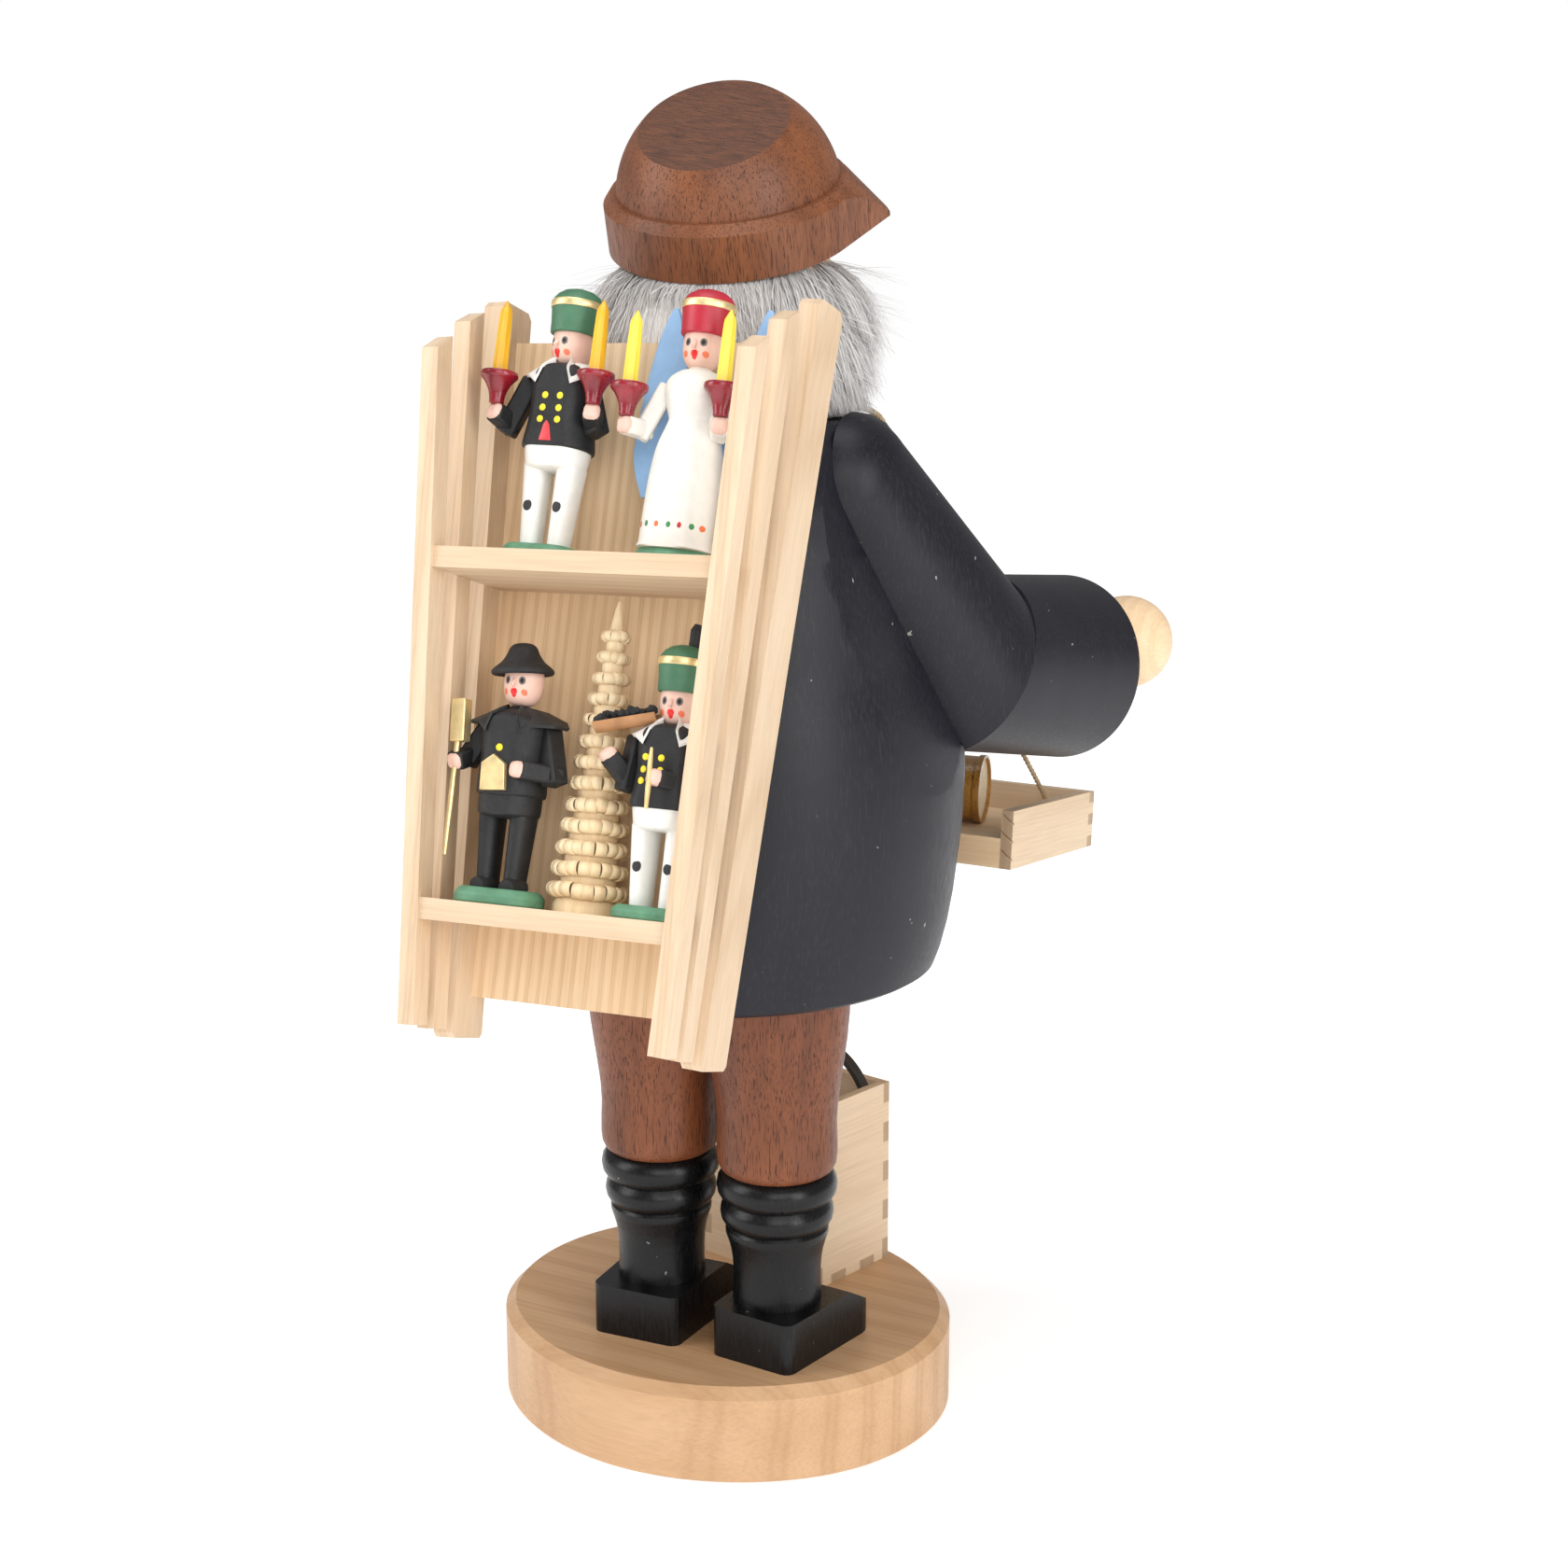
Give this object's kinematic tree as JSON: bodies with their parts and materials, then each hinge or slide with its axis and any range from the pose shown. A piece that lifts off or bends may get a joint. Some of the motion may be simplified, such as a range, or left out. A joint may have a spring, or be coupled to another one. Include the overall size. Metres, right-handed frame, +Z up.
{
  "type": "incense smoker figurine",
  "caption": "Turned wooden incense smoker shaped as a travelling pedlar with back frame of small figures, belly tray and crate on an oval base.",
  "frame": {"origin": "middle of the oval base's underside", "axes": "+Z up, -Y the way the figure faces, +X its left hand side"},
  "size_m": [0.156, 0.2122, 0.3295],
  "materials": {
    "beech": "satin lacquer",
    "black_wood": "satin paint",
    "blue_paint": "satin paint",
    "coat_wood": "satin stain, navy black",
    "dish_metal": "pressed",
    "drum_paint": "gloss",
    "fur": "loose fur",
    "gold_paint": "metallic paint",
    "green_paint": "satin paint",
    "leather": "dull",
    "linden": "raw sanded",
    "miner_black": "satin paint",
    "pine": "raw sanded",
    "red_paint": "gloss paint",
    "skin_wood": "matte",
    "stained_wood": "satin stain with visible grain",
    "twine": "twisted cord",
    "white_paint": "satin paint"
  },
  "bodies": {
    "stand": {"base": "beech", "right_shoe": "black_wood", "left_shoe": "black_wood", "right_boot": "black_wood", "left_boot": "black_wood", "right_breeches": "stained_wood", "left_breeches": "stained_wood", "hip_block": "stained_wood", "cone_dish": "dish_metal", "crate_front": "pine", "crate_back": "pine", "crate_right_side": "pine", "crate_left_side": "pine", "crate_floor": "pine", "crate_handle": "leather"},
    "figure": {"coat": "coat_wood", "right_upper_arm": "coat_wood", "left_upper_arm": "coat_wood", "right_forearm": "coat_wood", "left_forearm": "coat_wood", "right_hand": "skin_wood", "left_hand": "skin_wood", "head": "skin_wood", "nose": "skin_wood", "hair_fur": "fur", "beard_fur": "fur", "cap_brim": "stained_wood", "cap_crown": "stained_wood", "tray_floor": "pine", "tray_front": "pine", "tray_right_side": "pine", "tray_left_side": "pine", "tray_cord": "twine", "toy_drum": "drum_paint", "toy_horse": "linden", "pack_panel": "pine", "right_front_post": "pine", "right_middle_post": "pine", "right_rear_post": "pine", "left_front_post": "pine", "left_middle_post": "pine", "left_rear_post": "pine", "upper_shelf": "pine", "lower_shelf": "pine", "pack_pegs": "beech", "green_miner_body": "miner_black", "green_miner_head": "green_paint", "green_miner_candles": "red_paint", "angel_body": "white_paint", "angel_head": "red_paint", "angel_wings": "blue_paint", "angel_candles": "red_paint", "black_miner_body": "miner_black", "black_miner_head": "miner_black", "black_miner_hammer": "gold_paint", "ore_miner_body": "miner_black", "ore_miner_head": "green_paint", "ore_miner_trough": "beech", "curl_tree": "linden"}
  },
  "joints": [
    {"name": "upper_body_lift", "type": "slide", "parent": "stand", "child": "figure", "axis": [0, 0, 1], "range_m": [0, 0.06]}
  ]
}
